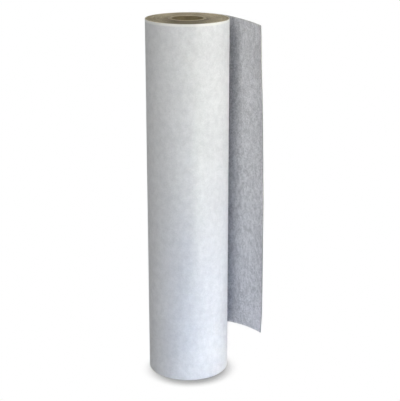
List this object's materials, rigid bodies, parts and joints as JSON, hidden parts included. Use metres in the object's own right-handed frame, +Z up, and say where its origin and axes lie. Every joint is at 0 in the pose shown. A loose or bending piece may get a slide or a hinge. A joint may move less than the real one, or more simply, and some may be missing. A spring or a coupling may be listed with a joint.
{
  "type": "crack isolation membrane roll",
  "caption": "Upright roll of laminated crack isolation membrane on a hollow cardboard core, with the free end of the sheet standing open as a flexible tail.",
  "frame": {"origin": "centre of the base of the whole outline, roll and open tail together, on the floor", "axes": "+Z up along the roll's axis, -Y towards a viewer in front of the roll, +X to the viewer's right, where the tail stands"},
  "size_m": [0.2724, 0.2322, 0.914],
  "materials": {
    "white_fleece": "matte non-woven",
    "khaki_carrier": "matte",
    "grey_fleece": "matte non-woven",
    "wound_laminate": "matte cut edges",
    "core_liner_paper": "smooth",
    "core_board": "matte",
    "core_outer_paper": "matte",
    "starter_tape_film": "satin"
  },
  "bodies": {
    "roll": {"core_liner_ply": "core_liner_paper", "core_body_ply": "core_board", "core_outer_ply": "core_outer_paper", "starter_tape": "starter_tape_film", "wound_web": "wound_laminate", "outer_turn_face_fleece": "white_fleece", "outer_turn_carrier": "khaki_carrier", "outer_turn_back_fleece": "grey_fleece"},
    "tail_1": {"tail_strip_1_face_fleece": "white_fleece", "tail_strip_1_carrier": "khaki_carrier", "tail_strip_1_back_fleece": "grey_fleece"},
    "tail_2": {"tail_strip_2_face_fleece": "white_fleece", "tail_strip_2_carrier": "khaki_carrier", "tail_strip_2_back_fleece": "grey_fleece"},
    "tail_3": {"tail_strip_3_face_fleece": "white_fleece", "tail_strip_3_carrier": "khaki_carrier", "tail_strip_3_back_fleece": "grey_fleece"},
    "tail_4": {"tail_strip_4_face_fleece": "white_fleece", "tail_strip_4_carrier": "khaki_carrier", "tail_strip_4_back_fleece": "grey_fleece"},
    "tail_5": {"tail_strip_5_face_fleece": "white_fleece", "tail_strip_5_carrier": "khaki_carrier", "tail_strip_5_back_fleece": "grey_fleece"}
  },
  "joints": [
    {"name": "tail_curl", "type": "hinge", "parent": "roll", "child": "tail_1", "pos_m": [0.05655, 0.06729, 0], "axis": [0, 0, 1], "range_deg": [-12.4, 8], "stiffness_Nm_per_rad": 2},
    {"name": "tail_bend_2", "type": "hinge", "parent": "tail_1", "child": "tail_2", "pos_m": [0.0783, 0.03357, 0], "axis": [0, 0, 1], "range_deg": [-15, 10]},
    {"name": "tail_bend_3", "type": "hinge", "parent": "tail_2", "child": "tail_3", "pos_m": [0.09578, -0.00248, 0], "axis": [0, 0, 1], "range_deg": [-18.5, 12]},
    {"name": "tail_bend_4", "type": "hinge", "parent": "tail_3", "child": "tail_4", "pos_m": [0.11106, -0.0395, 0], "axis": [0, 0, 1], "range_deg": [-18.8, 12.2]},
    {"name": "tail_bend_5", "type": "hinge", "parent": "tail_4", "child": "tail_5", "pos_m": [0.12424, -0.07732, 0], "axis": [0, 0, 1], "range_deg": [-18.8, 12.2]}
  ],
  "couplings": [
    {"joint": "tail_bend_2", "follows": "tail_curl", "ratio": 1.2},
    {"joint": "tail_bend_3", "follows": "tail_curl", "ratio": 1.48},
    {"joint": "tail_bend_4", "follows": "tail_curl", "ratio": 1.5},
    {"joint": "tail_bend_5", "follows": "tail_curl", "ratio": 1.5}
  ]
}
